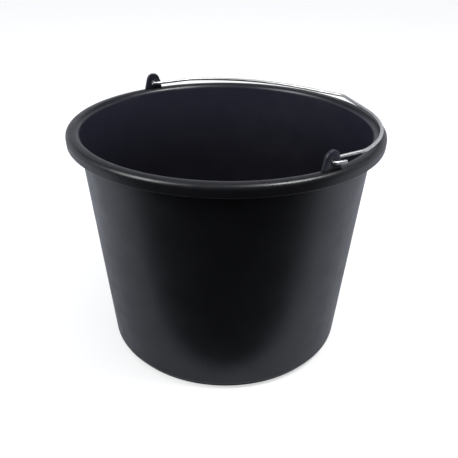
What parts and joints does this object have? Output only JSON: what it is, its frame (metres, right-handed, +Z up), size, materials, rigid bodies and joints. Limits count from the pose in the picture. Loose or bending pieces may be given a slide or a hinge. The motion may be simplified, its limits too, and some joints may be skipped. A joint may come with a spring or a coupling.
{
  "type": "florist bucket",
  "caption": "Tapered moulded plastic bucket for cut flowers, with a rolled rim, upright rim ears and a swinging steel wire bail folded down on the rim.",
  "frame": {"origin": "on the floor, at the centre of the foot ring, on the bucket's axis", "axes": "+Z up along the bucket's axis; X along the bail's hinge axis, through both ears; +Y towards the side that the bail lies on when it is folded down"},
  "size_m": [0.315, 0.3193, 0.2544],
  "materials": {
    "black_plastic": "satin moulded polypropylene with a soft sheen",
    "galvanised_wire": "bright galvanised wire with fine drawing marks"
  },
  "bodies": {
    "bucket_body": {"bucket": "black_plastic"},
    "bail_body": {"bail": "galvanised_wire"}
  },
  "joints": [
    {"name": "bail_swing", "type": "hinge", "parent": "bucket_body", "child": "bail_body", "pos_m": [0, 0, 0.244], "axis": [1, 0, 0], "range_deg": [0, 183.4]}
  ]
}
